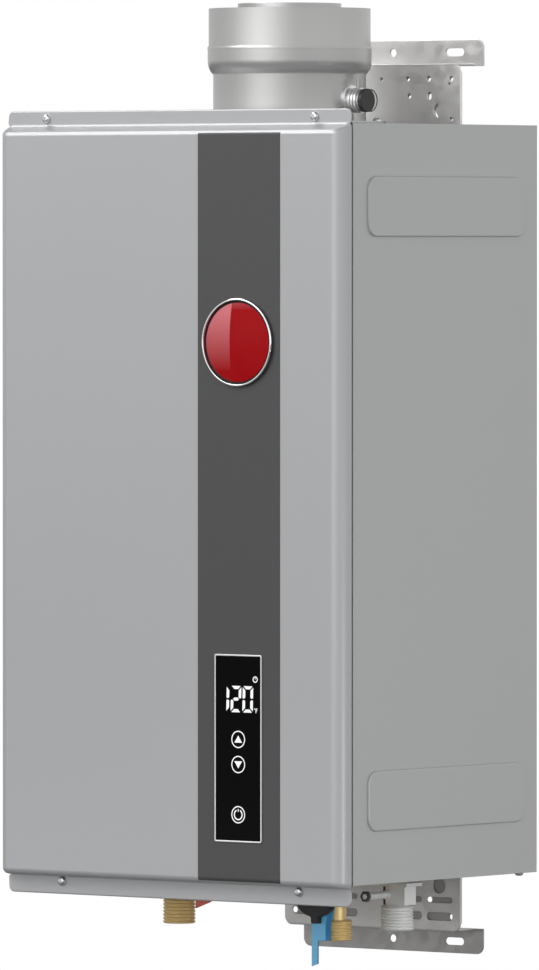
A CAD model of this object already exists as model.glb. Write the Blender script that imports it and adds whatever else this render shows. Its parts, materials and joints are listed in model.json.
"""Looks of a wall-hung tankless gas water heater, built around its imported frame.

Each sub-assembly is a class that eases the edges of its metal and plastic pieces, adds the fine
pieces that only show, and gives every piece its finish. All sizes are in metres in the frame's
axes: +X to the right seen from the front, +Y into the wall, +Z up. A class that says so keeps its
own sizes in millimetres.
"""
from __future__ import annotations

import json
import logging
import math
from dataclasses import dataclass
from enum import Enum
from typing import Callable, Sequence, Union

import bmesh
import bpy
from mathutils import Matrix, Vector

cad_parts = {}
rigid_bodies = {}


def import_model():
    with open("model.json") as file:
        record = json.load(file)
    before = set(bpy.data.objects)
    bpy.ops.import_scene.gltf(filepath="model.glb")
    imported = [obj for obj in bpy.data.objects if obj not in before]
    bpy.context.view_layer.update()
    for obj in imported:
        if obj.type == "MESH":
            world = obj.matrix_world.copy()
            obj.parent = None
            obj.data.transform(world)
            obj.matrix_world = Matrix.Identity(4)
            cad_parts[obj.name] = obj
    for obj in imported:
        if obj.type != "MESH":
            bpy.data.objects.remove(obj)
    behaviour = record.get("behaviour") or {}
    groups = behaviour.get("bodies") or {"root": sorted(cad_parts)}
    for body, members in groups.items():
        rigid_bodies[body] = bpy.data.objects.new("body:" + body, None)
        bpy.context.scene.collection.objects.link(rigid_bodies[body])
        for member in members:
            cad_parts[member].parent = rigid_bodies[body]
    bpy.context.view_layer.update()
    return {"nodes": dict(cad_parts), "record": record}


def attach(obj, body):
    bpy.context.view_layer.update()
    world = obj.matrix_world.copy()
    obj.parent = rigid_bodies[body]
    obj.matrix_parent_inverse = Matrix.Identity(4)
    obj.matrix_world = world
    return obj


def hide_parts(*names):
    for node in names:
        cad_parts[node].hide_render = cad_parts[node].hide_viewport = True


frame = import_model()

MM = 0.001
LOG = logging.getLogger("water_heater")

Colour = tuple[float, float, float]
Point = tuple[float, float, float]
Profile = Sequence[tuple[float, float]]
EdgeTest = Callable[[Vector], bool]

# Metres within which two vertices are one
WELD = 0.001 * MM
# Millimetres within which an edge lies on a line, and a lit sign's thickness in millimetres
NEAR = 0.05
SIGN_THICK = 0.06
WHITE = (1.0, 1.0, 1.0, 1.0)


def mm(*sizes: float) -> tuple[float, ...]:
    """Sizes in millimetres as metres."""
    return tuple(size * MM for size in sizes)


class Axis(Enum):
    """Direction of a turned piece's axis, as the turn that brings +Z to it."""

    X = Matrix.Rotation(math.radians(90), 4, "Y")
    FRONT = Matrix.Rotation(math.radians(90), 4, "X")
    Z = Matrix.Identity(4)


class Sock:
    """A shader value that adds Math nodes when it is used in an expression."""

    def __init__(self, kit: ShaderKit, socket: bpy.types.NodeSocket) -> None:
        self.kit = kit
        self.socket = socket

    def _math(self, operation: str, first: Value, second: Value) -> Sock:
        """Add one Math node and return its result."""
        return self.kit.node("ShaderNodeMath", {"operation": operation}, {0: first, 1: second})

    def __add__(self, other: Value) -> Sock:
        """Sum of two values."""
        return self._math("ADD", self, other)

    __radd__ = __add__

    def __mul__(self, other: Value) -> Sock:
        """Product of two values."""
        return self._math("MULTIPLY", self, other)

    __rmul__ = __mul__

    def __sub__(self, other: Value) -> Sock:
        """This value less the other."""
        return self._math("SUBTRACT", self, other)

    def __rsub__(self, other: Value) -> Sock:
        """The other value less this one."""
        return self._math("SUBTRACT", other, self)

    def __gt__(self, other: Value) -> Sock:
        """One where this value is the greater, and zero elsewhere."""
        return self._math("GREATER_THAN", self, other)

    def __lt__(self, other: Value) -> Sock:
        """One where this value is the smaller, and zero elsewhere."""
        return self._math("LESS_THAN", self, other)


Value = Union[Sock, float, Sequence[float]]


class ShaderKit:
    """One material in the making, around its Principled shader."""

    def __init__(self, name: str) -> None:
        """Start a material.

        Args:
            name: The material's name.
        """
        self.material = bpy.data.materials.new(name)
        self.material.use_nodes = True
        self.tree = self.material.node_tree
        self.shader = self.tree.nodes["Principled BSDF"]
        self.place = self.node("ShaderNodeTexCoord", out="Object")

    def node(self, kind: str, settings: dict | None = None, inputs: dict | None = None,
             out: str | int = 0) -> Sock:
        """Add a node of any type.

        Args:
            kind: Blender's name of the node's type.
            settings: The node's own settings, set first; stops are a ramp's places and colours.
            inputs: Values or links for its sockets, by name or number.
            out: The output to return, by name or number.

        Returns:
            The chosen output.
        """
        node = self.tree.nodes.new(kind)
        for key, value in (settings or {}).items():
            if key == "stops":
                ramp = node.color_ramp.elements
                for index, (where, tone) in enumerate(value):
                    stop = ramp[index] if index < len(ramp) else ramp.new(where)
                    stop.position = where
                    stop.color = (*tone, 1.0)
            else:
                setattr(node, key, value)
        for key, value in (inputs or {}).items():
            self.feed(node.inputs[key], value)
        return Sock(self, node.outputs[out])

    def feed(self, socket: bpy.types.NodeSocket, value: Value) -> None:
        """Link a value to a socket, or set the socket to a constant.

        Args:
            socket: The socket to feed.
            value: Another node's output, or the constant.
        """
        if isinstance(value, Sock):
            self.tree.links.new(value.socket, socket)
        else:
            socket.default_value = value

    def shade(self, **sockets: Value) -> None:
        """Set the shader's sockets; an underscore in a key stands for a space."""
        for key, value in sockets.items():
            self.feed(self.shader.inputs[key.replace("_", " ")], value)

    def noise(self, per_metre: float, detail: float = 2.0, stretch: Point = (1.0, 1.0, 1.0)) -> Sock:
        """Soft noise from 0 to 1.

        Args:
            per_metre: Number of features in a metre.
            detail: Octaves of finer noise.
            stretch: Factor on the number of features along X, Y and Z.

        Returns:
            The noise value.
        """
        where = self.node("ShaderNodeMapping", {}, {"Vector": self.place, "Scale": stretch})
        return self.node("ShaderNodeTexNoise", {}, {"Vector": where, "Scale": per_metre, "Detail": detail})

    def cells(self, per_metre: float, stretch: Point = (1.0, 1.0, 1.0), out: str = "Color") -> Sock:
        """Flat cells with a random colour each, or their distance from the cell's middle."""
        where = self.node("ShaderNodeMapping", {}, {"Vector": self.place, "Scale": stretch})
        return self.node("ShaderNodeTexVoronoi", {}, {"Vector": where, "Scale": per_metre}, out)

    def along(self, axis: str) -> Sock:
        """Coordinate along X, Y or Z, in metres."""
        return self.node("ShaderNodeSeparateXYZ", {}, {"Vector": self.place}, axis)

    def ramp(self, value: Sock, start: float, stop: float) -> Sock:
        """Value spread from 0 at the start to 1 at the stop, and held there beyond them."""
        return self.node("ShaderNodeMapRange", {"clamp": True},
                         {"Value": value, "From Min": start, "From Max": stop})

    def facing(self, axis: str) -> Sock:
        """The surface normal's part along X, Y or Z."""
        normal = self.node("ShaderNodeNewGeometry", out="Normal")
        return self.node("ShaderNodeSeparateXYZ", {}, {"Vector": normal}, axis)

    def tint(self, share: Value, low: Colour, high: Colour) -> Sock:
        """Colour between two others.

        Args:
            share: 0 for the low colour, 1 for the high one.
            low: Colour at 0.
            high: Colour at 1.

        Returns:
            The mixed colour.
        """
        return self.blend(share, (*low, 1.0), (*high, 1.0))

    def blend(self, share: Value, low: Value, high: Value) -> Sock:
        """Mix of two colours with alpha, by a share from 0 to 1."""
        return self.node("ShaderNodeMix", {"data_type": "RGBA"}, {0: share, 6: low, 7: high}, 2)

    def bump(self, height: Sock, depth: float) -> Sock:
        """Normal bent by a height from 0 to 1, with the depth between them in metres."""
        return self.node("ShaderNodeBump", {}, {"Height": height, "Strength": 1.0, "Distance": depth})

    def seen_as(self, other: Sock) -> Sock:
        """The shader, with another one in its place where the camera looks straight at it.

        Args:
            other: The shader that the camera sees.

        Returns:
            The mixed shader.
        """
        seen = self.node("ShaderNodeLightPath", out="Is Camera Ray")
        own = Sock(self, self.shader.outputs[0])
        return self.node("ShaderNodeMixShader", {}, {0: seen, 1: own, 2: other})


# Materials by the name of their finish
MADE: dict[str, bpy.types.Material] = {}


def shift(colour: Colour, factor: float) -> Colour:
    """The same colour, brighter or darker by a factor."""
    return tuple(min(1.0, part * factor) for part in colour)


@dataclass(frozen=True)
class Finish:
    """What every finish has: a name, a colour, a roughness and how far its tone wanders."""

    name: str
    colour: Colour
    roughness: float
    wander: float = 0.05

    def material(self) -> bpy.types.Material:
        """Make the finish's material, or take the one made before.

        Returns:
            The material.
        """
        if self.name not in MADE:
            kit = ShaderKit(self.name)
            self.dress(kit)
            MADE[self.name] = kit.material
        return MADE[self.name]

    def dress(self, kit: ShaderKit) -> None:
        """Add the finish's nodes to a new material."""
        raise NotImplementedError

    def wandering(self, kit: ShaderKit, share: Sock) -> Sock:
        """The finish's colour, a little darker and brighter over the surface."""
        return kit.tint(share, shift(self.colour, 1 - self.wander), shift(self.colour, 1 + self.wander))

    def uneven(self, *parts: tuple[Sock, float]) -> Value:
        """The finish's roughness, higher and lower over the surface.

        Args:
            parts: Noises from 0 to 1, each with the change in roughness from its least to its most.

        Returns:
            The roughness.
        """
        rough = self.roughness
        for noise, swing in parts:
            rough = rough + (noise - 0.5) * swing
        return rough


@dataclass(frozen=True)
class PaintedSheet(Finish):
    """Satin metallic paint on sheet: a fine flake and a faint orange peel."""

    flake_per_m: float = 2600.0
    peel_per_m: float = 420.0
    peel_depth: float = 0.006 * MM
    metallic: float = 0.2
    slow_per_m: float = 3.0
    flake_share: float = 0.6
    flake_rough: float = 0.1
    slow_rough: float = 0.04

    def dress(self, kit: ShaderKit) -> None:
        """Add the paint's nodes.

        Args:
            kit: The material in the making.
        """
        slow = kit.noise(self.slow_per_m)
        flake = kit.noise(self.flake_per_m, detail=1.0)
        tone = slow * (1 - self.flake_share) + flake * self.flake_share
        kit.shade(Base_Color=self.wandering(kit, tone),
                  Roughness=self.uneven((flake, self.flake_rough), (slow, self.slow_rough)),
                  Metallic=self.metallic,
                  Normal=kit.bump(kit.noise(self.peel_per_m), self.peel_depth))


@dataclass(frozen=True)
class PrintedFilm(Finish):
    """Satin printed film with a fine grain drawn along one axis."""

    grain_per_m: float = 900.0
    stretch: Point = (0.12, 1.0, 1.0)
    grain_depth: float = 0.004 * MM
    grain_rough: float = 0.16

    def dress(self, kit: ShaderKit) -> None:
        """Add the film's nodes.

        Args:
            kit: The material in the making.
        """
        grain = kit.noise(self.grain_per_m, detail=3.0, stretch=self.stretch)
        kit.shade(Base_Color=self.wandering(kit, grain),
                  Roughness=self.uneven((grain, self.grain_rough)),
                  Normal=kit.bump(grain, self.grain_depth))


@dataclass(frozen=True)
class PlatedMetal(Finish):
    """Bright plating with a faint haze and fine wipe marks."""

    haze: float = 0.08
    wipe_per_m: float = 260.0
    stretch: Point = (1.0, 1.0, 6.0)
    cloud_per_m: float = 40.0
    wipe_share: float = 0.5

    def dress(self, kit: ShaderKit) -> None:
        """Add the plating's nodes.

        Args:
            kit: The material in the making.
        """
        wipe = kit.noise(self.wipe_per_m, detail=4.0, stretch=self.stretch)
        cloud = kit.noise(self.cloud_per_m)
        kit.shade(Base_Color=self.wandering(kit, cloud),
                  Roughness=self.roughness + cloud * self.haze + wipe * self.haze * self.wipe_share,
                  Metallic=1.0)


@dataclass(frozen=True)
class BrushedSheet(Finish):
    """Rolled bare sheet: long fine rolling marks and a slow change of tone."""

    marks_per_m: float = 700.0
    stretch: Point = (1.0, 1.0, 0.05)
    mark_depth: float = 0.003 * MM
    metallic: float = 1.0
    slow_per_m: float = 9.0
    marks_share: float = 0.5
    marks_rough: float = 0.18
    slow_rough: float = 0.08

    def dress(self, kit: ShaderKit) -> None:
        """Add the rolled sheet's nodes.

        Args:
            kit: The material in the making.
        """
        marks = kit.noise(self.marks_per_m, detail=4.0, stretch=self.stretch)
        slow = kit.noise(self.slow_per_m)
        tone = marks * self.marks_share + slow * (1 - self.marks_share)
        kit.shade(Base_Color=self.wandering(kit, tone),
                  Roughness=self.uneven((marks, self.marks_rough), (slow, self.slow_rough)),
                  Metallic=self.metallic,
                  Normal=kit.bump(marks, self.mark_depth))


@dataclass(frozen=True)
class Galvanised(Finish):
    """Hot-dip zinc on sheet: flat spangles of differing tone and gloss."""

    spangle_per_m: float = 150.0
    metallic: float = 0.75
    cloud_per_m: float = 18.0
    grain_per_m: float = 500.0
    grain_depth: float = 0.004 * MM
    spangle_share: float = 0.6
    spangle_rough: float = 0.16

    def dress(self, kit: ShaderKit) -> None:
        """Add the zinc's nodes.

        Args:
            kit: The material in the making.
        """
        spangle = kit.node("ShaderNodeSeparateColor", {}, {"Color": kit.cells(self.spangle_per_m)}, 0)
        cloud = kit.noise(self.cloud_per_m, detail=4.0)
        tone = spangle * self.spangle_share + cloud * (1 - self.spangle_share)
        kit.shade(Base_Color=self.wandering(kit, tone),
                  Roughness=self.uneven((spangle, self.spangle_rough)),
                  Metallic=self.metallic,
                  Normal=kit.bump(kit.noise(self.grain_per_m), self.grain_depth))


@dataclass(frozen=True)
class SteppedZinc(Galvanised):
    """Zinc sheet with another, even tone below the turn of its wall flange."""

    turn_z: float = -716.5 * MM
    soft: float = 0.8 * MM
    below: float = 0.64

    def wandering(self, kit: ShaderKit, share: Sock) -> Sock:
        """The zinc's colour, with its own tone below the turn.

        Args:
            kit: The material in the making.
            share: 0 where the zinc is darkest, 1 where it is brightest.

        Returns:
            The colour.
        """
        upper = super().wandering(kit, share)
        above = kit.ramp(kit.along("Z"), self.turn_z - self.soft, self.turn_z + self.soft)
        lower = (*shift(self.colour, self.below), 1.0)
        return kit.blend(above, lower, upper)


@dataclass(frozen=True)
class TurnedMetal(Finish):
    """Lathe-turned metal: fine tool rings along one axis and a slight tarnish."""

    ring_per_m: float = 2400.0
    stretch: Point = (0.04, 0.04, 1.0)
    tarnish: Colour = (0.3, 0.2, 0.1)
    metallic: float = 1.0
    cloud_per_m: float = 70.0
    ring_depth: float = 0.004 * MM
    tarnish_share: float = 0.7
    ring_rough: float = 0.12
    cloud_rough: float = 0.1

    def dress(self, kit: ShaderKit) -> None:
        """Add the turned metal's nodes.

        Args:
            kit: The material in the making.
        """
        rings = kit.noise(self.ring_per_m, stretch=self.stretch)
        cloud = kit.noise(self.cloud_per_m, detail=4.0)
        clean = shift(self.colour, 1 + self.wander)
        kit.shade(Base_Color=kit.tint(cloud * cloud * self.tarnish_share, clean, self.tarnish),
                  Roughness=self.roughness + rings * self.ring_rough + cloud * self.cloud_rough,
                  Metallic=self.metallic,
                  Normal=kit.bump(rings, self.ring_depth))


@dataclass(frozen=True)
class MouldedPlastic(Finish):
    """Moulded plastic with a spark-eroded texture."""

    texture_per_m: float = 1400.0
    texture_depth: float = 0.015 * MM
    slow_per_m: float = 25.0
    texture_share: float = 0.5
    texture_rough: float = 0.14

    def dress(self, kit: ShaderKit) -> None:
        """Add the plastic's nodes.

        Args:
            kit: The material in the making.
        """
        texture = kit.noise(self.texture_per_m, detail=3.0)
        slow = kit.noise(self.slow_per_m)
        tone = slow * (1 - self.texture_share) + texture * self.texture_share
        kit.shade(Base_Color=self.wandering(kit, tone),
                  Roughness=self.uneven((texture, self.texture_rough)),
                  Normal=kit.bump(texture, self.texture_depth))


@dataclass(frozen=True)
class TintedStrap(MouldedPlastic):
    """Clear tinted plastic, paler on its broad faces than on its edges."""

    edge: Colour = (0.02, 0.2, 0.45)
    turned_right: tuple[float, float] = (0.35, 0.8)

    def wandering(self, kit: ShaderKit, share: Sock) -> Sock:
        """Pale colour on the broad faces and the deep one on edges that face right.

        Args:
            kit: The material in the making.
            share: 0 where the pale colour is darkest, 1 where it is brightest.

        Returns:
            The colour.
        """
        broad = super().wandering(kit, share)
        side = kit.ramp(kit.facing("X"), *self.turned_right)
        return kit.blend(side, broad, (*self.edge, 1.0))


@dataclass(frozen=True)
class GlossLens(Finish):
    """Clear polished plastic over a colour, with a hair-fine unevenness and a hard coat."""

    coat: float = 1.0
    gloss: float = 0.5
    coat_roughness: float = 0.03
    slow_per_m: float = 35.0
    slow_depth: float = 0.01 * MM
    slow_rough: float = 0.05

    def dress(self, kit: ShaderKit) -> None:
        """Add the lens's nodes.

        Args:
            kit: The material in the making.
        """
        slow = kit.noise(self.slow_per_m, detail=3.0)
        kit.shade(Base_Color=self.tone(kit, slow),
                  Roughness=self.roughness + slow * self.slow_rough,
                  Specular_IOR_Level=self.gloss,
                  Coat_Weight=self.coat,
                  Coat_Roughness=self.coat_roughness,
                  Normal=kit.bump(slow, self.slow_depth))

    def tone(self, kit: ShaderKit, slow: Sock) -> Sock:
        """Colour under the coat."""
        return self.wandering(kit, slow)


@dataclass(frozen=True)
class TwoToneLens(GlossLens):
    """Domed lens whose left part is paler, most of all at its top; places in metres."""

    pale: Colour = (0.68, 0.2, 0.22)
    split_x: float = 67.8 * MM
    pale_top: float = -210.0 * MM
    pale_low: float = -258.0 * MM
    crown: float = -209.5 * MM
    crown_blur: float = 5.0 * MM
    crown_share: float = 0.22
    slow_share: float = 0.04

    def tone(self, kit: ShaderKit, slow: Sock) -> Sock:
        """Deep colour with the paler part at the left and a thin pale crown.

        Args:
            kit: The material in the making.
            slow: Slow noise from 0 to 1.

        Returns:
            The colour.
        """
        height = kit.ramp(kit.along("Z"), self.pale_low, self.pale_top)
        crown = kit.ramp(kit.along("Z"), self.crown, self.crown + self.crown_blur)
        left = (kit.along("X") < self.split_x) * height
        share = left + crown * self.crown_share + slow * self.slow_share
        return kit.tint(share, self.colour, self.pale)


@dataclass(frozen=True)
class CircuitBoard(Finish):
    """Solder mask over a grid of tracks."""

    track_per_m: float = 260.0
    stretch: Point = (1.0, 1.0, 0.35)
    track_edge: float = 0.45
    track_lift: float = 1.8
    track_depth: float = 0.03 * MM
    grain_per_m: float = 300.0
    grain_rough: float = 0.12

    def dress(self, kit: ShaderKit) -> None:
        """Add the board's nodes.

        Args:
            kit: The material in the making.
        """
        grid = kit.cells(self.track_per_m, self.stretch, "Distance")
        track = grid > self.track_edge
        kit.shade(Base_Color=kit.tint(track, self.colour, shift(self.colour, self.track_lift)),
                  Roughness=self.roughness + kit.noise(self.grain_per_m) * self.grain_rough,
                  Normal=kit.bump(track, self.track_depth))


@dataclass(frozen=True)
class Glow(Finish):
    """Lit segments behind the display window."""

    strength: float = 3.0
    unlit: float = 0.05
    spread_per_m: float = 400.0

    def dress(self, kit: ShaderKit) -> None:
        """Add the light's nodes.

        Args:
            kit: The material in the making.
        """
        spread = kit.noise(self.spread_per_m)
        kit.shade(Base_Color=(*shift(self.colour, self.unlit), 1.0),
                  Roughness=self.roughness,
                  Emission_Color=self.wandering(kit, spread),
                  Emission_Strength=self.strength)


class Shade(Enum):
    """Finishes of the heater, by the material slot that each one dresses."""

    case_paint = PaintedSheet("case_paint", (0.46, 0.475, 0.47), 0.34, 0.025)
    cover_paint = PaintedSheet("cover_paint", (0.46, 0.465, 0.475), 0.32, 0.025)
    stripe_film = PrintedFilm("stripe_film", (0.061, 0.061, 0.061), 0.42, 0.1)
    chrome_trim = PlatedMetal("chrome_trim", (0.78, 0.78, 0.79), 0.07, 0.03)
    badge_red = TwoToneLens("badge_red", (0.37, 0.004, 0.006), 0.2, 0.06, 0.02, 0.02)
    fascia_black = GlossLens("fascia_black", (0.0025, 0.0025, 0.003), 0.2, 0.1, 0.0, 0.05)
    screw_zinc = PlatedMetal("screw_zinc", (0.72, 0.72, 0.73), 0.2, 0.05)
    seal_black = MouldedPlastic("seal_black", (0.012, 0.012, 0.013), 0.8, 0.3, 2200.0, 0.08 * MM)
    galvanised = Galvanised("galvanised", (0.5, 0.49, 0.485), 0.42, 0.1)
    vent_sheet = BrushedSheet("vent_sheet", (0.5, 0.5, 0.495), 0.36, 0.05, metallic=0.75)
    brass = TurnedMetal("brass", (1.0, 0.74, 0.36), 0.26, 0.05, tarnish=(0.85, 0.56, 0.22), metallic=0.6)
    nickel = TurnedMetal("nickel", (0.95, 0.95, 0.94), 0.38, 0.05, tarnish=(0.82, 0.82, 0.82), metallic=0.7)
    black_plastic = MouldedPlastic("black_plastic", (0.012, 0.012, 0.013), 0.42, 0.2)
    dark_plastic = MouldedPlastic("dark_plastic", (0.07, 0.07, 0.075), 0.5, 0.15)
    white_plastic = MouldedPlastic("white_plastic", (0.7, 0.7, 0.67), 0.45, 0.05)
    strap_blue = TintedStrap("strap_blue", (0.2, 0.62, 1.0), 0.38, 0.08)
    strap_red = MouldedPlastic("strap_red", (0.9, 0.18, 0.13), 0.4, 0.06)
    copper = TurnedMetal("copper", (0.76, 0.36, 0.2), 0.26, 0.06, 900.0, tarnish=(0.3, 0.13, 0.08))
    stack_steel = BrushedSheet("stack_steel", (0.5, 0.5, 0.5), 0.36, 0.08)
    casting = MouldedPlastic("casting", (0.3, 0.31, 0.32), 0.48, 0.12, 1800.0, 0.03 * MM)
    board_green = CircuitBoard("board_green", (0.015, 0.11, 0.045), 0.35)
    ceramic = GlossLens("ceramic", (0.75, 0.73, 0.68), 0.25, 0.04, 0.5)
    segment_white = Glow("segment_white", (0.95, 0.96, 0.97), 0.5, 0.02, 1.0)
    shaded_zinc = Galvanised("shaded_zinc", (0.4, 0.39, 0.38), 0.5, 0.1)
    lower_zinc = SteppedZinc("lower_zinc", (0.64, 0.63, 0.62), 0.42, 0.1)
    bright_zinc = SteppedZinc("bright_zinc", (0.61, 0.602, 0.594), 0.42, 0.05,
                              turn_z=-11.0 * MM, below=1.38)
    rim_silver = PlatedMetal("rim_silver", (0.82, 0.82, 0.82), 0.28, 0.02)
    washer_red = MouldedPlastic("washer_red", (0.08, 0.012, 0.012), 0.5, 0.2)

    @property
    def material(self) -> bpy.types.Material:
        """Blender's material of this finish."""
        return self.value.material()


# The record's body and slot of each node, and all its slots
BODY_OF = {node: body for body, nodes in frame["record"]["behaviour"]["bodies"].items() for node in nodes}
SLOT_OF = {part["node"]: part["material_slot"] for part in frame["record"]["subparts"]}
SLOTS = {material["slot"] for material in frame["record"]["materials"]}


def verts_in(made: dict) -> list[bmesh.types.BMVert]:
    """The vertices in an operator's result."""
    return [item for item in made["geom"] if isinstance(item, bmesh.types.BMVert)]


class Shape:
    """A mesh in the making, shaped by operators and then shown as one piece."""

    def __init__(self) -> None:
        """Start empty."""
        self.mesh = bmesh.new()

    @classmethod
    def of_node(cls, node: str, flat_deg: float = 0.4) -> Shape:
        """Copy a CAD node's mesh, with its loose triangles joined into whole faces.

        Args:
            node: Name of the CAD node.
            flat_deg: Faces that turn less than this against each other become one.

        Returns:
            The joined copy.
        """
        shape = cls()
        mesh = shape.mesh
        mesh.from_mesh(frame["nodes"][node].data)
        bmesh.ops.remove_doubles(mesh, verts=mesh.verts, dist=WELD)
        bmesh.ops.dissolve_limit(mesh, angle_limit=math.radians(flat_deg), verts=mesh.verts,
                                 edges=mesh.edges, use_dissolve_boundaries=False)
        return shape

    @classmethod
    def turned(cls, profile: Profile, centre: Point, axis: Axis = Axis.Z, steps: int = 64) -> Shape:
        """Turn a closed outline round an axis.

        Args:
            profile: Radius and height of each corner, in millimetres, in order.
            centre: Where the axis has its height 0, in metres.
            axis: Direction of the axis.
            steps: Number of faces round the axis.

        Returns:
            The turned shape.
        """
        shape = cls()
        mesh = shape.mesh
        rim = [mesh.verts.new((radius * MM, 0.0, height * MM)) for radius, height in profile]
        for first, second in zip(rim, rim[1:] + rim[:1]):
            mesh.edges.new((first, second))
        shape.spun(mesh.verts[:] + mesh.edges[:], 360.0, steps)
        bmesh.ops.dissolve_degenerate(mesh, dist=WELD, edges=mesh.edges)
        bmesh.ops.recalc_face_normals(mesh, faces=mesh.faces)
        return shape.moved(Matrix.Translation(centre) @ axis.value)

    @classmethod
    def plate(cls, width: float, height: float, thick: float, corner: float = 0.0, steps: int = 4) -> Shape:
        """Flat plate in X and Z round the origin, standing forward from Y 0, in metres.

        Args:
            width: Size along X.
            height: Size along Z.
            thick: Size along Y.
            corner: Size of the corners' cut or rounding.
            steps: Faces on a corner, 1 for a straight cut.

        Returns:
            The plate.
        """
        shape = cls()
        mesh = shape.mesh
        bmesh.ops.create_grid(mesh, x_segments=1, y_segments=1, size=0.5)
        bmesh.ops.scale(mesh, vec=(width, height, 1.0), verts=mesh.verts)
        if corner:
            bmesh.ops.bevel(mesh, geom=mesh.verts[:], offset=corner, offset_type="OFFSET", segments=steps,
                            profile=0.5, affect="VERTICES", material=-1)
        return shape.thickened(thick).moved(Axis.FRONT.value)

    @classmethod
    def sheet(cls, corners: Profile, thick: float) -> Shape:
        """Flat sheet in X and Z, standing forward from Y 0, in millimetres.

        Args:
            corners: X and Z of each corner, in order.
            thick: Size along Y.

        Returns:
            The sheet.
        """
        shape = cls()
        shape.mesh.faces.new([shape.mesh.verts.new((x * MM, z * MM, 0.0)) for x, z in corners])
        return shape.thickened(thick * MM).moved(Axis.FRONT.value)

    @classmethod
    def ring_plate(cls, outer: float, inner: float, thick: float, start_deg: float = 0.0,
                   sweep_deg: float = 360.0, steps: int = 40) -> Shape:
        """Flat ring, or a stretch of one, in X and Z round the origin, standing forward from Y 0.

        Args:
            outer: Outer radius.
            inner: Inner radius.
            thick: Size along Y.
            start_deg: Angle of the stretch's start from +X towards +Z.
            sweep_deg: Angle of the stretch.
            steps: Faces along the stretch.

        Returns:
            The ring.
        """
        shape = cls()
        mesh = shape.mesh
        ends = [mesh.verts.new((radius, 0.0, 0.0)) for radius in (inner, outer)]
        rib = mesh.edges.new(ends)
        shape.spun([*ends, rib], sweep_deg, steps)
        turn = Matrix.Rotation(math.radians(start_deg), 4, "Z")
        return shape.moved(turn).thickened(thick).moved(Axis.FRONT.value)

    def spun(self, geom: list, sweep_deg: float, steps: int) -> None:
        """Spin an outline round Z and weld its seam and poles.

        Args:
            geom: Vertices and edges of the outline.
            sweep_deg: Angle of the spin.
            steps: Faces along the spin.
        """
        mesh = self.mesh
        bmesh.ops.spin(mesh, geom=geom, cent=(0, 0, 0), axis=(0, 0, 1), dvec=(0, 0, 0),
                       angle=math.radians(sweep_deg), steps=steps, use_merge=sweep_deg >= 360.0,
                       use_normal_flip=False, use_duplicate=False)
        bmesh.ops.remove_doubles(mesh, verts=mesh.verts, dist=WELD)

    def thickened(self, thick: float) -> Shape:
        """Give a flat shape in X and Y its thickness along +Z.

        Args:
            thick: The thickness in metres.

        Returns:
            The same shape.
        """
        mesh = self.mesh
        bmesh.ops.recalc_face_normals(mesh, faces=mesh.faces)
        grown = bmesh.ops.extrude_face_region(mesh, geom=mesh.faces[:])
        bmesh.ops.translate(mesh, vec=(0, 0, thick), verts=verts_in(grown))
        bmesh.ops.recalc_face_normals(mesh, faces=mesh.faces)
        return self

    def moved(self, turn: Matrix) -> Shape:
        """Move or turn the whole shape."""
        bmesh.ops.transform(self.mesh, matrix=turn, verts=self.mesh.verts)
        return self

    def at(self, place: Point) -> Shape:
        """Move the whole shape by a distance, in metres."""
        return self.moved(Matrix.Translation(place))

    def joined(self, *others: Shape) -> Shape:
        """Take in other shapes, which are used up.

        Args:
            others: The shapes to take in.

        Returns:
            The same shape.
        """
        for other in others:
            spare = bpy.data.meshes.new("spare")
            other.mesh.to_mesh(spare)
            other.mesh.free()
            self.mesh.from_mesh(spare)
            bpy.data.meshes.remove(spare)
        return self

    def scored(self, level: float, clear: bool = False) -> list:
        """Cut the mesh at a height.

        Args:
            level: The height in millimetres.
            clear: Whether what lies below goes.

        Returns:
            The cut's vertices and edges.
        """
        mesh = self.mesh
        geom = mesh.verts[:] + mesh.edges[:] + mesh.faces[:]
        made = bmesh.ops.bisect_plane(mesh, geom=geom, dist=WELD, plane_co=(0, 0, level * MM),
                                      plane_no=(0, 0, 1), clear_inner=clear)
        return made["geom_cut"]

    def cut_below(self, level: float) -> None:
        """Cut away what lies below a height in millimetres, and close the cut."""
        rim = [item for item in self.scored(level, True) if isinstance(item, bmesh.types.BMEdge)]
        bmesh.ops.bridge_loops(self.mesh, edges=rim)

    def eased(self, width: float, steps: int = 2, over_deg: float = 28.0,
              where: EdgeTest | None = None) -> Shape:
        """Round the sharp edges.

        Args:
            width: Width of the rounding in metres.
            steps: Faces across a rounding.
            over_deg: Least turn between the faces of a sharp edge.
            where: Test of an edge's middle; only edges that pass are rounded.

        Returns:
            The same shape.
        """
        sharp = [edge for edge in self.mesh.edges
                 if edge.is_manifold and edge.calc_face_angle(0.0) > math.radians(over_deg)
                 and (where is None or where((edge.verts[0].co + edge.verts[1].co) / 2))]
        bmesh.ops.bevel(self.mesh, geom=sharp, offset=width, offset_type="OFFSET", segments=steps,
                        profile=0.5, affect="EDGES", clamp_overlap=False, material=-1)
        return self

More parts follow.
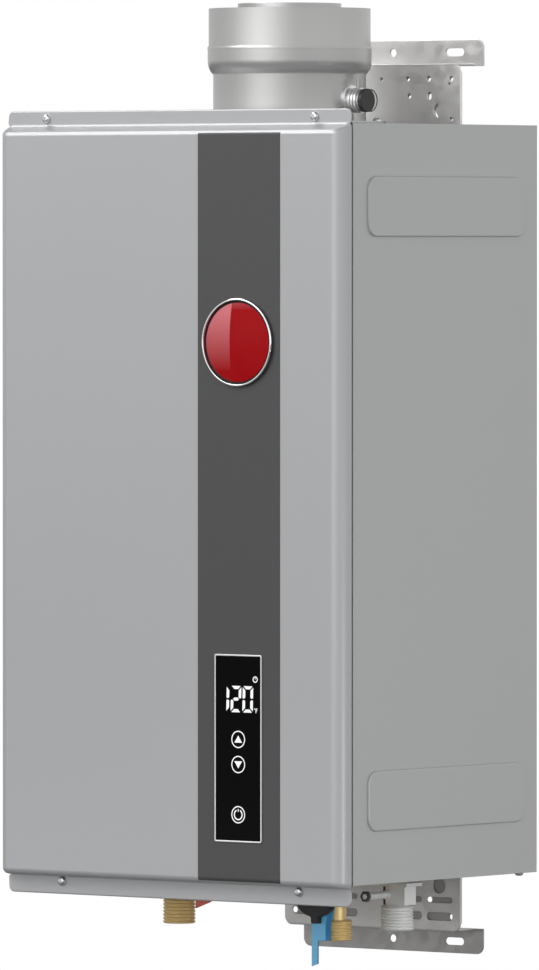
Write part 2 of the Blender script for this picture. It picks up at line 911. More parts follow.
    def shown(self, name: str, shade: Shade, body: str, replaces: Sequence[str] = (),
              sharp_deg: float = 50.0) -> bpy.types.Object:
        """End the shaping and show the piece.

        Args:
            name: The piece's name.
            shade: Its finish, which is also its material slot where the record has one.
            body: Body that it rides on.
            replaces: CAD nodes that it stands for.
            sharp_deg: Edges that turn more than this stay sharp in the shading.

        Returns:
            The piece's object.
        """
        data = bpy.data.meshes.new(name)
        self.mesh.to_mesh(data)
        self.mesh.free()
        data.shade_smooth()
        data.set_sharp_from_angle(angle=math.radians(sharp_deg))
        piece = bpy.data.objects.new(name, data)
        bpy.context.scene.collection.objects.link(piece)
        even = piece.modifiers.new("even_faces", "WEIGHTED_NORMAL")
        even.keep_sharp = True
        data.materials.append(shade.material)
        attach(piece, body)
        slots = [shade.name, *(SLOT_OF[node] for node in replaces)]
        known = [slot for slot in slots if slot in SLOTS]
        if replaces:
            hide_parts(*replaces)
        LOG.info("%s rides %s, %d faces", name, body, len(data.polygons))
        return piece


def dress_node(node: str, ease: float = 0.0, steps: int = 2, shade: Shade | None = None) -> None:
    """Show a CAD node as an eased copy.

    Args:
        node: Name of the CAD node.
        ease: Width of its rounded edges in millimetres, 0 for none.
        steps: Faces across a rounding.
        shade: Its finish, where it isn't the one of its slot.
    """
    shape = Shape.of_node(node)
    if ease:
        shape.eased(ease * MM, steps)
    shape.shown(f"{node}_dressed", shade or Shade[SLOT_OF[node]], BODY_OF[node], [node])


@dataclass
class PhotoCamera:
    """Camera at the photograph's viewing angle."""

    place: Point = (5.371, -7.050, -0.157)
    look: Point = (-6.6367, 8.5056, -0.24075)
    lens_mm: float = 400.4
    sensor_mm: float = 36.0
    near_and_far: tuple[float, float] = (0.5, 40.0)

    def build(self) -> None:
        """Make the camera and choose it for the scene."""
        data = bpy.data.cameras.new("photo_camera")
        data.lens = self.lens_mm
        data.sensor_width = self.sensor_mm
        data.clip_start, data.clip_end = self.near_and_far
        camera = bpy.data.objects.new("photo_camera", data)
        camera.location = self.place
        camera.rotation_euler = Vector(self.look).to_track_quat("-Z", "Y").to_euler()
        bpy.context.scene.collection.objects.link(camera)
        bpy.context.scene.camera = camera


class Reach(Enum):
    """What a light acts on: matt surfaces, mirrored light, or both."""

    BOTH = (True, True)
    FILL = (True, False)
    SHINE = (False, True)


@dataclass(frozen=True)
class SoftBox:
    """A rectangular studio light that looks at the heater's middle."""

    name: str
    place: Point
    size: tuple[float, float]
    watts: float
    roll_deg: float = 0.0
    reach: Reach = Reach.BOTH

    def build(self, target: Vector) -> None:
        """Hang the light.

        Args:
            target: Point that the light faces.
        """
        data = bpy.data.lights.new(self.name, "AREA")
        data.shape = "RECTANGLE"
        data.size, data.size_y = self.size
        data.energy = self.watts
        light = bpy.data.objects.new(self.name, data)
        light.location = self.place
        aim = (target - Vector(self.place)).to_track_quat("-Z", "Y").to_matrix()
        light.rotation_euler = (aim @ Matrix.Rotation(math.radians(self.roll_deg), 3, "Z")).to_euler()
        light.visible_camera = False
        light.visible_diffuse, light.visible_glossy = self.reach.value
        bpy.context.scene.collection.objects.link(light)


class WorldKit(ShaderKit):
    """The surroundings in the making, where a place is a direction."""

    def __init__(self, name: str) -> None:
        """Start a world and choose it for the scene.

        Args:
            name: The world's name.
        """
        world = bpy.data.worlds.new(name)
        world.use_nodes = True
        bpy.context.scene.world = world
        self.tree = world.node_tree
        self.shader = self.tree.nodes["Background"]
        self.place = self.node("ShaderNodeTexCoord", out="Generated")


@dataclass
class Studio:
    """White surroundings that are brightest in front, a pale floor and soft boxes."""

    target: Point = (0.0, -0.15, -0.36)
    floor_z: float = -1.3
    floor_half: float = 20.0
    floor_tone: float = 0.2
    floor_lift: float = 1.05
    floor_rough: float = 0.8
    floor_per_m: float = 1.5
    horizon: float = 1.0
    rise: float = -0.85
    lean: float = 0.2
    front: float = 1.6
    front_power: float = 9.0
    backdrop: float = 1.0
    boxes: tuple[SoftBox, ...] = (
        SoftBox("front_box", (-0.6, -2.4, 1.5), (1.5, 1.5), 30.0),
        SoftBox("low_box", (1.4, -0.35, -0.95), (1.2, 0.5), 5.0, 0.0, Reach.FILL),
        SoftBox("foot_strip", (-0.6, -1.0, -0.735), (1.2, 0.1), 0.35, 0.0, Reach.SHINE),
        SoftBox("foot_glint", (1.6, -0.25, -0.70), (0.5, 0.12), 1.1, 0.0, Reach.SHINE),
        SoftBox("edge_strip", (-1.845, -1.3, 2.08), (1.2, 4.0), 75.0, 50.0, Reach.SHINE),
    )

    def build(self) -> None:
        """Set the light, the floor and the picture's plain tones."""
        bpy.context.scene.view_settings.view_transform = "Standard"
        for soft_box in self.boxes:
            soft_box.build(Vector(self.target))
        self.build_world()
        self.build_floor()

    def build_world(self) -> None:
        """White where the camera looks past the heater, soft light everywhere else."""
        kit = WorldKit("studio_white")
        ahead = kit.node("ShaderNodeMath", {"operation": "MAXIMUM"}, {0: kit.along("Y") * -1.0, 1: 0.0})
        lobe = kit.node("ShaderNodeMath", {"operation": "POWER"}, {0: ahead, 1: self.front_power})
        sloped = self.horizon + kit.along("Z") * self.rise + kit.along("X") * self.lean
        kit.shade(Color=WHITE, Strength=sloped + lobe * self.front)
        white = kit.node("ShaderNodeBackground", {}, {"Color": WHITE, "Strength": self.backdrop})
        kit.feed(kit.tree.nodes["World Output"].inputs["Surface"], kit.seen_as(white))

    def build_floor(self) -> None:
        """Lay the pale floor, which the camera sees as white from above and not at all from below."""
        mesh = bmesh.new()
        bmesh.ops.create_grid(mesh, x_segments=1, y_segments=1, size=self.floor_half)
        bmesh.ops.translate(mesh, vec=(0.0, 0.0, self.floor_z), verts=mesh.verts)
        data = bpy.data.meshes.new("pale_floor")
        mesh.to_mesh(data)
        mesh.free()
        kit = ShaderKit("pale_floor")
        tone = (self.floor_tone,) * 3
        kit.shade(Base_Color=kit.tint(kit.noise(self.floor_per_m), tone, shift(tone, self.floor_lift)),
                  Roughness=self.floor_rough)
        glow = kit.node("ShaderNodeEmission", {}, {"Strength": self.backdrop})
        below = kit.node("ShaderNodeNewGeometry", out="Backfacing")
        clear = kit.node("ShaderNodeBsdfTransparent")
        surface = kit.node("ShaderNodeMixShader", {}, {0: below, 1: kit.seen_as(glow), 2: clear})
        kit.feed(kit.tree.nodes["Material Output"].inputs["Surface"], surface)
        data.materials.append(kit.material)
        floor = bpy.data.objects.new("pale_floor", data)
        bpy.context.scene.collection.objects.link(floor)


@dataclass
class CoverAssembly:
    """Front cover with its screws, stripe, badge and control panel; sizes in millimetres."""

    face_y: float = -300.0
    flange_y: float = -286.0
    sheet: float = 1.0
    pan_top: float = -67.0
    pan_bottom: float = -664.5
    top_rate: float = 5.0 / 14.0
    low_rate: float = 1.5 / 14.0
    wall_gap: float = 1.2
    top_round: float = 3.0
    low_round: float = 4.5
    lip_top: float = -49.5
    lip_low: float = -682.0
    low_drop: float = 1.6
    low_still: float = -674.0
    low_full: float = -666.0
    low_free: float = -661.5
    drop_back: float = -284.5
    film_low: float = -664.6
    film_foot: float = 0.1
    film_spread: float = 1.42
    film_reach: float = 3.6
    end_x: float = 169.5
    end_over: float = 4.0
    end_under: float = 9.0
    bend_round: float = 1.1
    rear_round: float = 0.3
    crease_round: float = 1.7
    crease_end: float = 171.5
    crease_steps: int = 6
    crease_tuck: float = 0.3
    badge_at: Point = (73.3, -300.3, -235.0)
    groove: Profile = ((31.62, 1.0), (33.2, 1.0), (33.35, 1.9), (33.2, 2.0), (32.9, 1.2), (31.62, 1.2))

    def build(self) -> None:
        """Show every piece of the cover."""
        self.build_pan()
        self.build_stripe()
        CrossScrew().build()
        dress_node("badge_bezel", ease=0.3, steps=3)
        dress_node("badge_dome")
        groove = Shape.turned(self.groove, mm(*self.badge_at), Axis.FRONT, steps=96)
        groove.shown("badge_groove", Shade.seal_black, "cover")
        dress_node("controller_housing", ease=0.4)
        dress_node("controller_board", ease=0.2)
        ControlPanel().build()

    def on_wall(self, edge: float, rate: float, inset: float) -> EdgeTest:
        """Test for the edges between the pan's face and its upper or lower wall.

        Args:
            edge: Height of the wall's front edge.
            rate: The wall's rise for each step back.
            inset: Depth under the outside of the sheet.

        Returns:
            The test of an edge's middle.
        """
        inward = math.copysign(inset * math.hypot(1.0, rate), -rate)

        def test(place: Vector) -> bool:
            """Look for the wall in front of the flange.

            Args:
                place: An edge's middle, in metres.

            Returns:
                Whether it lies there.
            """
            y, z = place.y / MM, place.z / MM
            off = z - edge - rate * (y - self.face_y) - inward
            return y < self.flange_y - self.wall_gap and abs(off) < NEAR

        return test

    def on_flange(self, crease: float) -> EdgeTest:
        """Test for the flanges' front edges: along their lips, and at their ends beyond the pan.

        Args:
            crease: Height of the crease above the pan.

        Returns:
            The test of an edge's middle.
        """
        def test(place: Vector) -> bool:
            """Look for a flange's front edge.

            Args:
                place: An edge's middle, in metres.

            Returns:
                Whether it lies there.
            """
            x, y, z = (part / MM for part in place)
            on_lip = z > self.lip_top - NEAR or z < self.lip_low + NEAR
            beyond = z > crease + self.end_over or z < self.lip_low + self.end_under
            return abs(y - self.flange_y) < NEAR and (on_lip or abs(x) > self.end_x and beyond)

        return test

    def build_pan(self) -> None:
        """Round the pressed edges of the cover: wide on the pan, tight on the flanges."""
        pan = Shape.of_node("front_cover")
        for vert in pan.mesh.verts:
            share = (vert.co.z / MM - self.low_still) / (self.low_full - self.low_still)
            if 0.0 < share and vert.co.z / MM < self.low_free and vert.co.y / MM < self.drop_back:
                vert.co.z -= self.low_drop * min(share, 1.0) * MM
        low_edge = self.pan_bottom - self.low_drop
        for inset in (0.0, self.sheet):
            on_top = self.on_wall(self.pan_top, self.top_rate, inset)
            on_low = self.on_wall(low_edge, -self.low_rate, inset)
            pan.eased((self.top_round - inset) * MM, steps=5, where=on_top)
            pan.eased((self.low_round - inset) * MM, steps=5, where=on_low)
        crease = self.pan_top + self.top_rate * (self.flange_y - self.face_y)
        pan.eased(self.bend_round * MM, steps=4, where=self.on_flange(crease))
        pan.eased(self.rear_round * MM, steps=3, where=lambda p: p.y / MM > self.flange_y + self.rear_round)
        pan.joined(self.crease_fillet(crease))
        pan.shown("front_cover_dressed", Shade.cover_paint, "cover", ["front_cover"], sharp_deg=40.0)

    def crease_fillet(self, crease: float) -> Shape:
        """Hollow rounding between the upper flange and the pan's top wall.

        Args:
            crease: Height of the sharp crease.

        Returns:
            A bar of that rounding along the crease.
        """
        turn = math.atan2(1.0, self.top_rate)
        radius = self.crease_round / math.tan(turn / 2)
        mid_y, mid_z = self.flange_y - radius, crease + self.crease_round
        angles = [-turn * step / self.crease_steps for step in range(self.crease_steps + 1)]
        outline = [(mid_y + radius * math.cos(angle), mid_z + radius * math.sin(angle)) for angle in angles]
        outline.append((self.flange_y + self.crease_tuck, crease - self.crease_tuck))
        fillet = Shape()
        mesh = fillet.mesh
        side = mesh.faces.new([mesh.verts.new(mm(-self.crease_end, y, z)) for y, z in outline])
        bar = bmesh.ops.extrude_face_region(mesh, geom=[side])
        bmesh.ops.translate(mesh, vec=mm(2 * self.crease_end, 0.0, 0.0), verts=verts_in(bar))
        bmesh.ops.recalc_face_normals(mesh, faces=mesh.faces[:])
        return fillet

    def depth_at(self, z: float) -> float:
        """How far the rounded ends of the pan lie behind its face at a height.

        Args:
            z: The height.

        Returns:
            The depth, 0 on the flat face.
        """
        over = max(z - (self.pan_top - self.top_round), 0.0)
        under = max(self.pan_bottom - self.low_drop + self.low_round - z, 0.0)
        bend = self.top_round * self.film_spread
        high = bend - math.sqrt(max(bend * bend - over * over, 0.0))
        low = self.low_round - math.sqrt(max(self.low_round ** 2 - under * under, 0.0))
        return min(high + low, self.film_reach)

    def build_stripe(self) -> None:
        """Lay the film over the pan's rounded ends."""
        film = Shape.of_node("dark_stripe")
        foot = min(vert.co.z for vert in film.mesh.verts)
        for vert in film.mesh.verts:
            if vert.co.z < foot + self.film_foot * MM:
                vert.co.z = self.film_low * MM
        levels = [self.pan_top - self.top_round * k / 4 for k in range(1, 5)]
        levels += [self.film_low + self.low_round * k / 8 for k in range(1, 7)]
        for level in levels:
            film.scored(level)
        for vert in film.mesh.verts:
            vert.co.y += self.depth_at(vert.co.z / MM) * MM
        film.shown("dark_stripe_dressed", Shade.stripe_film, "cover", ["dark_stripe"])


@dataclass(frozen=True)
class CrossScrew:
    """Pan-head screws of the cover with a cross recess; sizes in millimetres."""

    places: tuple[tuple[float, float], ...] = (
        (-134.7, -55.75), (139.3, -55.75), (-118.7, -671.45), (123.3, -671.45))
    seat_y: float = -286.0
    top_r: float = 2.3
    shoulder: Profile = ((2.9, 2.75), (3.45, 2.1), (3.8, 1.1), (3.85, 0.0), (2.0, 0.0), (2.0, -8.0),
                         (1.2, -8.8))
    sides: int = 24
    crown: float = 3.05
    arm: float = 1.75
    slot: float = 0.42
    sink: float = 0.7
    taper: float = 0.7

    def head(self) -> Shape:
        """One screw with its head towards +Z, seated at height 0.

        Returns:
            The screw.
        """
        shape = Shape()
        mesh = shape.mesh
        corners = [(self.arm, self.slot), (self.slot, self.slot), (self.slot, self.arm)]
        outline = []
        for quarter in range(4):
            turn = Matrix.Rotation(math.radians(90 * quarter), 3, "Z")
            outline += [turn @ Vector((x, y, self.crown)) * MM for x, y in corners]
        recess = mesh.faces.new([mesh.verts.new(point) for point in outline])
        circle = bmesh.ops.create_circle(mesh, cap_ends=False, segments=self.sides, radius=self.top_r * MM)
        rim = circle["verts"]
        bmesh.ops.translate(mesh, vec=(0, 0, self.crown * MM), verts=rim)
        edge = list({link for vert in rim for link in vert.link_edges})
        bmesh.ops.bridge_loops(mesh, edges=[*recess.edges, *edge])
        for radius, height in self.shoulder:
            grown = bmesh.ops.extrude_edge_only(mesh, edges=edge)
            edge = [item for item in grown["geom"] if isinstance(item, bmesh.types.BMEdge)]
            ring = verts_in(grown)
            now = math.hypot(*ring[0].co.xy)
            bmesh.ops.scale(mesh, vec=(radius * MM / now, radius * MM / now, 1.0), verts=ring)
            bmesh.ops.translate(mesh, vec=(0, 0, height * MM - ring[0].co.z), verts=ring)
        bmesh.ops.contextual_create(mesh, geom=edge)
        floor = verts_in(bmesh.ops.extrude_face_region(mesh, geom=[recess]))
        bmesh.ops.translate(mesh, vec=(0, 0, -self.sink * MM), verts=floor)
        bmesh.ops.scale(mesh, vec=(self.taper, self.taper, 1.0), verts=floor)
        bmesh.ops.delete(mesh, geom=[recess], context="FACES_ONLY")
        bmesh.ops.recalc_face_normals(mesh, faces=mesh.faces)
        return shape

    def build(self) -> None:
        """Show the four screws where the frame has them."""
        screws = Shape()
        for x, z in self.places:
            screws.joined(self.head().moved(Axis.FRONT.value).at(mm(x, self.seat_y, z)))
        screws.shown("cover_screws_dressed", Shade.screw_zinc, "cover", ["cover_screws"], sharp_deg=32.0)


class Segment(Enum):
    """Segments of a lit digit, as corners in a cell that is one wide and two high."""

    TOP = ((0.08, 2.0), (0.92, 2.0), (0.7, 1.76), (0.32, 1.76))
    TOP_RIGHT = ((1.0, 1.9), (1.0, 1.09), (0.88, 1.05), (0.75, 1.13), (0.75, 1.66))
    LOW_RIGHT = ((1.0, 0.1), (1.0, 0.91), (0.88, 0.95), (0.75, 0.87), (0.75, 0.34))
    LOW = ((0.08, 0.0), (0.92, 0.0), (0.7, 0.24), (0.32, 0.24))
    LOW_LEFT = ((0.0, 0.1), (0.0, 0.91), (0.12, 0.95), (0.25, 0.87), (0.25, 0.34))
    TOP_LEFT = ((0.0, 1.9), (0.0, 1.09), (0.12, 1.05), (0.25, 1.13), (0.25, 1.66))
    MIDDLE = ((0.22, 1.0), (0.36, 1.12), (0.66, 1.12), (0.78, 1.0), (0.66, 0.88), (0.36, 0.88))


@dataclass(frozen=True)
class LitDigit:
    """One digit of the display: its left edge and the segments that glow; sizes in millimetres."""

    left: float
    lit: tuple[Segment, ...]

    def shapes(self, foot: float, width: float, lean: float) -> list[Shape]:
        """Flat segments in their place.

        Args:
            foot: Height of the digit's foot.
            width: Width of the digit; it is twice as high.
            lean: Step to the right for each step up.

        Returns:
            One shape for each lit segment.
        """
        outlines = [[(self.left + width * (x + lean * z), foot + width * z) for x, z in part.value]
                    for part in self.lit]
        return [Shape.sheet(outline, SIGN_THICK) for outline in outlines]


@dataclass
class ControlPanel:
    """Display window with its rim, keys and lit signs; sizes in millimetres."""

    centre_x: float = 73.3
    sign_x: float = 73.45
    centre_z: float = -558.25
    width: float = 47.6
    height: float = 149.5
    rim: float = 1.2
    rim_back: float = -300.3
    rim_proud: float = 0.3
    rim_corner: float = 1.5
    rim_sink: float = 0.25
    rim_ease: float = 0.2
    glass: float = -301.1
    sign_gap: float = 0.02
    keys: tuple[tuple[str, float], ...] = (("up", -551.0), ("down", -571.0), ("power", -611.0))
    key_ring: tuple[float, float] = (6.9, 6.05)
    arrow: Profile = ((-3.9, -2.6), (3.9, -2.6), (0.0, 3.1))
    power_ring: tuple[float, float] = (4.4, 3.4)
    power_arc: tuple[float, float] = (118.0, 304.0)
    power_tick: Profile = ((-0.4, 2.4), (0.4, 2.4), (0.4, 4.6), (-0.4, 4.6))
    digit_foot: float = -529.4
    digit_width: float = 10.5
    digit_lean: float = 0.025
    digits: tuple[LitDigit, ...] = (
        LitDigit(61.4, (Segment.TOP_LEFT, Segment.LOW_LEFT)),
        LitDigit(65.7, (Segment.TOP, Segment.TOP_RIGHT, Segment.MIDDLE, Segment.LOW_LEFT, Segment.LOW)),
        LitDigit(77.6, (Segment.TOP, Segment.TOP_RIGHT, Segment.TOP_LEFT, Segment.LOW_RIGHT,
                        Segment.LOW_LEFT, Segment.LOW)),
    )
    clock_at: tuple[float, float] = (90.6, -502.9)
    clock_ring: tuple[float, float] = (2.5, 1.75)
    clock_hand: Profile = ((-0.25, 0.0), (0.25, 0.0), (0.25, 1.6), (-0.25, 1.6))
    degree_at: tuple[float, float] = (89.9, -526.4)
    degree_ring: tuple[float, float] = (0.6, 0.3)
    unit_at: tuple[float, float] = (91.0, -529.6)
    unit: Profile = ((0.0, 3.6), (1.9, 3.6), (1.9, 3.0), (0.6, 3.0), (0.6, 2.2), (1.5, 2.2), (1.5, 1.6),
                     (0.6, 1.6), (0.6, 0.0), (0.0, 0.0))

    def build(self) -> None:
        """Show the window, its rim, the keys and the lit signs."""
        dress_node("control_fascia", ease=0.3)
        self.build_rim()
        for key, _ in self.keys:
            dress_node(f"button_{key}", ease=0.15)
        self.build_digits()
        self.build_icons()
        self.build_key_signs()

    def build_rim(self) -> None:
        """Rim that laps a little over the window's edge, with rounded corners."""
        depth = self.rim_back - self.glass + self.rim_proud
        rim = Shape.plate(*mm(self.width, self.height, depth, self.rim_corner), steps=5)
        mesh = rim.mesh
        front = [face for face in mesh.faces if face.normal.y < -0.9]
        back = [face for face in mesh.faces if face.normal.y > 0.9]
        bmesh.ops.delete(mesh, geom=back, context="FACES_ONLY")
        bmesh.ops.inset_region(mesh, faces=front, thickness=self.rim * MM, depth=0.0, use_even_offset=True)
        well = bmesh.ops.extrude_face_region(mesh, geom=front)
        bmesh.ops.translate(mesh, vec=mm(0.0, self.rim_sink, 0.0), verts=verts_in(well))
        floor = [item for item in well["geom"] if isinstance(item, bmesh.types.BMFace)]
        bmesh.ops.delete(mesh, geom=floor + front, context="FACES")
        rim.at(mm(self.centre_x, self.rim_back, self.centre_z))
        rim.eased(self.rim_ease * MM, steps=3)
        rim.shown("control_bezel_dressed", Shade.rim_silver, "cover", ["control_bezel"])

    def lit(self, shapes: Sequence[Shape], name: str, body: str) -> None:
        """Show flat signs just in front of the glass."""
        sign = Shape().joined(*shapes).at(mm(0.0, self.glass - self.sign_gap, 0.0))
        sign.shown(name, Shade.segment_white, body)

    @staticmethod
    def ring(radii: tuple[float, float], place: tuple[float, float], start_deg: float = 0.0,
             sweep_deg: float = 360.0) -> Shape:
        """Flat lit ring, or a stretch of one.

        Args:
            radii: Outer and inner radius.
            place: Its middle in X and Z.
            start_deg: Angle of the stretch's start from +X towards +Z.
            sweep_deg: Angle of the stretch.

        Returns:
            The ring.
        """
        x, z = place
        return Shape.ring_plate(*mm(*radii, SIGN_THICK), start_deg, sweep_deg).at(mm(x, 0.0, z))

    @staticmethod
    def sign(outline: Profile, place: tuple[float, float]) -> Shape:
        """Flat lit sign with its outline round a place in X and Z."""
        x, z = place
        return Shape.sheet([(x + across, z + up) for across, up in outline], SIGN_THICK)

    def build_digits(self) -> None:
        """Light the set temperature."""
        parts = [shape for digit in self.digits
                 for shape in digit.shapes(self.digit_foot, self.digit_width, self.digit_lean)]
        self.lit(parts, "display_digits", "cover")

    def build_icons(self) -> None:
        """Light the small clock above the digits and the degree sign beside them."""
        clock = self.ring(self.clock_ring, self.clock_at)
        hand = self.sign(self.clock_hand, self.clock_at)
        degree = self.ring(self.degree_ring, self.degree_at)
        unit = self.sign(self.unit, self.unit_at)
        self.lit([clock, hand, degree, unit], "display_icons", "cover")

    def build_key_signs(self) -> None:
        """Light a ring and a sign on each key."""
        for key, z in self.keys:
            place = (self.sign_x, z)
            signs = [self.ring(self.key_ring, place)]
            if key == "power":
                signs.append(self.ring(self.power_ring, place, *self.power_arc))
                signs.append(self.sign(self.power_tick, place))
            else:
                way = 1.0 if key == "up" else -1.0
                signs.append(self.sign([(across, up * way) for across, up in self.arrow], place))
            self.lit(signs, f"key_{key}_sign", f"key_{key}")


@dataclass
class CaseShell:
    """Sheet case behind the cover; sizes in millimetres."""

    half_width: float = 175.0
    pad_rise: float = 1.5
    pad_ease: float = 1.1
    ease: float = 0.3
    inner_y: tuple[float, float] = (-282.9, -39.1)
    inner_z: tuple[float, float] = (-664.9, -61.1)
    lip_x: float = 169.8
    lip_zone: tuple[float, float] = (-665.4, -60.6)
    lip_step: float = 0.1
    lipped: tuple[str, ...] = ("top_panel", "bottom_panel", "cover_gasket")
    foot_place: Point = (169.0, -55.0, -665.0)
    foot_head: Profile = ((0.0, 0.4), (2.2, 0.4), (3.3, 0.0), (3.3, -1.2), (2.8, -2.0), (1.6, -2.5),
                          (0.0, -2.6))

    def build(self) -> None:
        """Show the panels, the foam seal and the foot screw."""
        for node in ("left_side_panel", "right_side_panel"):
            panel = Shape.of_node(node)
            panel.eased(self.pad_ease * MM, steps=4, where=self.on_pad)
            panel.eased(self.ease * MM, steps=2, where=self.on_outer_edge)
            panel.shown(f"{node}_dressed", Shade.case_paint, "case", [node], sharp_deg=40.0)
        for node in self.lipped:
            self.build_lipped(node)
        dress_node("back_panel", self.ease)
        head = Shape.turned(self.foot_head, mm(*self.foot_place), steps=32)
        head.shown("case_foot_screw", Shade.casting, "case")

    def on_pad(self, place: Vector) -> bool:
        """Whether a place stands out on a side panel's pressed pad."""
        return abs(place.x) / MM > self.half_width + self.pad_rise

    def on_outer_edge(self, place: Vector) -> bool:
        """Look for the outer edges of a side panel's face.

        Args:
            place: An edge's middle, in metres.

        Returns:
            Whether it lies there.
        """
        x, y, z = (part / MM for part in place)
        (front, rear), (low, high) = self.inner_y, self.inner_z
        inside = front <= y <= rear and low <= z <= high
        return abs(abs(x) - self.half_width) < NEAR and not inside

    def build_lipped(self, node: str) -> None:
        """Show a piece with the ends of its lips tucked behind the cover's flanges.

        Args:
            node: Name of the CAD node.
        """
        piece = Shape.of_node(node)
        low, high = self.lip_zone
        for level in (low, low - self.lip_step, high, high + self.lip_step):
            piece.scored(level)
        for vert in piece.mesh.verts:
            on_lip = not low - self.lip_step / 2 < vert.co.z / MM < high + self.lip_step / 2
            if on_lip and abs(vert.co.x / MM) > self.lip_x:
                vert.co.x = math.copysign(self.lip_x * MM, vert.co.x)
        piece.eased(self.ease * MM)
        piece.shown(f"{node}_dressed", Shade[SLOT_OF[node]], BODY_OF[node], [node])


@dataclass
class VentTop:
    """Collar, flue and sampling port; sizes in millimetres."""

    axis_y: float = -140.0
    port_z: float = -41.0
    bore: float = 5.0
    neck: float = 8.2
    start: float = 60.2
    end: float = 75.95
    rings: tuple[float, ...] = (67.4, 70.3, 73.2)
    ring: Profile = ((8.2, -1.15), (9.9, -1.1), (10.1, -0.9), (10.1, 0.9), (9.9, 1.1), (8.2, 1.15))
    foot_lift: float = 1.6
    foot: Profile = ((6.2, 60.2), (11.0, 60.2), (11.4, 60.6), (11.4, 63.4), (10.6, 64.2), (6.2, 64.2))
    tab: Profile = ((0.0, 8.6), (1.6, 8.6), (1.6, 16.2), (1.2, 17.0), (0.0, 17.2))
    pull_at: Point = (78.4, -134.6, -41.0)
    pull_r: float = 8.8
    wire_r: float = 0.45

    def build(self) -> None:
        """Show the collar, the flue, the port and its cap."""
        dress_node("vent_collar")
        dress_node("flue_pipe", ease=0.25)
        dress_node("flue_spacer", ease=0.2)
        dress_node("vent_gasket", ease=0.2)
        dress_node("case_screws", ease=0.3, steps=3)
        self.build_port()
        self.build_cap()

    def build_port(self) -> None:
        """Turn the ringed body with its wider, slightly higher foot, and stand the release tab on it."""
        outline = [(self.bore, self.start), (self.neck, self.start)]
        for place in self.rings:
            outline += [(radius, place + step) for radius, step in self.ring]
        outline += [(self.neck, self.end), (self.bore, self.end)]
        body = Shape.turned(outline, mm(0.0, self.axis_y, self.port_z), Axis.X, steps=72)
        raised = mm(0.0, self.axis_y, self.port_z + self.foot_lift)
        body.joined(Shape.turned(self.foot, raised, Axis.X, steps=72))
        body.shown("test_port_dressed", Shade.rim_silver, "case", ["test_port"], sharp_deg=40.0)
        tab = Shape.turned(self.tab, mm(self.rings[1], self.axis_y, self.port_z), steps=24)
        tab.shown("test_port_tab", Shade.shaded_zinc, "case")

    def build_cap(self) -> None:
        """Show the push-in cap and the thin pull ring behind its disc."""
        dress_node("test_port_cap", ease=0.5, steps=3)
        angles = [math.radians(angle) for angle in range(0, 360, 45)]
        wire = [(self.pull_r + self.wire_r * math.cos(angle), self.wire_r * math.sin(angle))
                for angle in angles]
        ring = Shape.turned(wire, mm(*self.pull_at), Axis.X, steps=48)
        ring.shown("test_port_pull_ring", Shade.black_plastic, "port_cap")


@dataclass
class WallBrackets:
    """Hanging brackets and the second sheets behind their plates; edge widths in millimetres."""

    sheets: tuple[tuple[str, float, int, Shade], ...] = (
        ("upper_wall_bracket", 0.4, 3, Shade.bright_zinc),
        ("lower_wall_bracket", 0.4, 3, Shade.lower_zinc),
        ("bracket_stiffeners", 0.2, 2, Shade.shaded_zinc),
    )

    def build(self) -> None:
        """Show both brackets and the stiffeners."""
        for node, ease, steps, shade in self.sheets:
            dress_node(node, ease, steps, shade)


@dataclass(frozen=True)
class ThreadedEnd:
    """Pipe thread at the foot of a fitting; sizes in millimetres, a ridge's heights in pitches."""

    node: str
    place: tuple[float, float]
    foot: float
    top: float
    ridges: int
    shade: Shade
    ridge: Profile = ((12.35, 0.04), (13.1, 0.3), (13.35, 0.44), (13.25, 0.62), (12.35, 0.9))
    root: float = 12.35
    lead: float = 11.95
    bore: float = 7.0
    lap: float = 0.02
    ease: float = 0.3

    def build(self) -> None:
        """Show the fitting's upper part as in the frame, with ridges turned below it."""
        fitting = Shape.of_node(self.node)
        fitting.cut_below(self.top)
        fitting.eased(self.ease * MM)
        pitch = (self.top - self.foot) / self.ridges
        outline = [(self.bore, self.foot), (self.lead, self.foot)]
        for index in range(self.ridges):
            base = self.foot + index * pitch
            outline += [(radius, base + share * pitch) for radius, share in self.ridge]
        outline += [(self.root, self.top + self.lap), (self.bore, self.top + self.lap)]
        fitting.joined(Shape.turned(outline, mm(*self.place, 0.0), steps=96))
        fitting.shown(f"{self.node}_dressed", self.shade, "case", [self.node], sharp_deg=36.0)


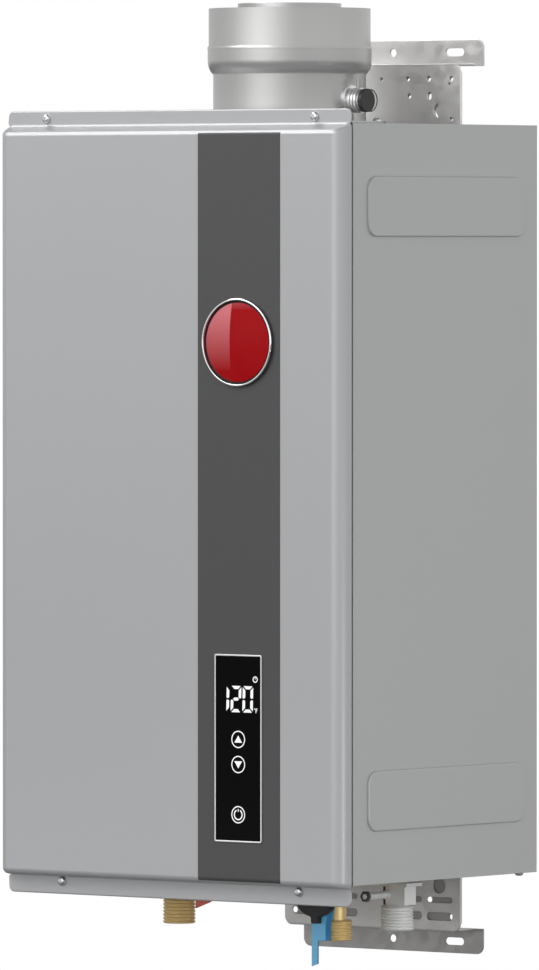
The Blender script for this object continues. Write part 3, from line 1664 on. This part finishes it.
@dataclass
class PipeFittings:
    """Threaded ends, plugs and straps below the case; sizes in millimetres."""

    threads: tuple[ThreadedEnd, ...] = (
        ThreadedEnd("hot_outlet", (-100.0, -158.0), -711.0, -691.05, 7, Shade.brass),
        ThreadedEnd("cold_inlet", (69.0, -168.0), -718.0, -701.68, 6, Shade.brass),
        ThreadedEnd("gas_inlet", (109.0, -139.0), -710.0, -690.05, 8, Shade.nickel),
    )
    washer_at: Point = (103.05, -146.0, -681.5)
    washer: tuple[float, float, float, float] = (1.7, 14.6, 2.5, 0.5)
    nipple_at: Point = (105.5, -148.0, -681.0)
    nipple: Profile = ((0.0, 0.0), (3.6, 0.0), (3.6, 1.4), (3.0, 1.8), (3.0, 27.4), (2.3, 27.6),
                       (2.3, 29.3), (0.0, 29.3))
    nipple_cap: Profile = ((2.4, 26.6), (4.6, 26.6), (4.8, 26.9), (4.8, 29.3), (4.3, 29.9), (2.9, 29.9),
                           (2.4, 29.4))
    cap_sides: int = 6
    cap_ease: float = 0.25
    eased: tuple[tuple[str, float], ...] = (
        ("filter_plug", 0.7), ("filter_strap", 0.6), ("drain_plug", 0.5),
        ("drain_strap", 0.5), ("power_gland", 0.5), ("filter_strainer", 0.15), ("plug_seal", 0.4))

    def build(self) -> None:
        """Show the fittings, their plugs and the gas block's washer."""
        for thread in self.threads:
            thread.build()
        for node, ease in self.eased:
            dress_node(node, ease, steps=3)
        strip = Shape.plate(*mm(*self.washer), steps=3).at(mm(*self.washer_at))
        strip.shown("gas_block_washer", Shade.washer_red, "case")
        centre = mm(*self.nipple_at)
        shaft = Shape.turned(self.nipple, centre, Axis.FRONT, steps=48)
        shaft.shown("gas_test_nipple_dressed", Shade.nickel, "case", ["gas_test_nipple"])
        cap = Shape.turned(self.nipple_cap, centre, Axis.FRONT, self.cap_sides).eased(self.cap_ease * MM)
        cap.shown("gas_nipple_cap", Shade.dark_plastic, "case")


@dataclass
class InnerWorks:
    """Burner, heat exchanger, fan, valves, pipes and boards inside the case; sizes in millimetres."""

    ease: float = 0.3

    def build(self, done: set[str]) -> None:
        """Show every node that no other sub-assembly has shown.

        Args:
            done: Names of the nodes that are shown already.
        """
        for node in frame["nodes"]:
            if node not in done:
                dress_node(node, self.ease)


def main() -> None:
    """Build the studio and every sub-assembly, and note both boxes."""
    logging.basicConfig(level=logging.INFO, format="%(name)s: %(message)s")
    PhotoCamera().build()
    Studio().build()
    for part in (CoverAssembly(), CaseShell(), VentTop(), WallBrackets(), PipeFittings()):
        part.build()
    InnerWorks().build({piece.name.removesuffix("_dressed") for piece in bpy.data.objects})


if __name__ == "__main__":
    main()
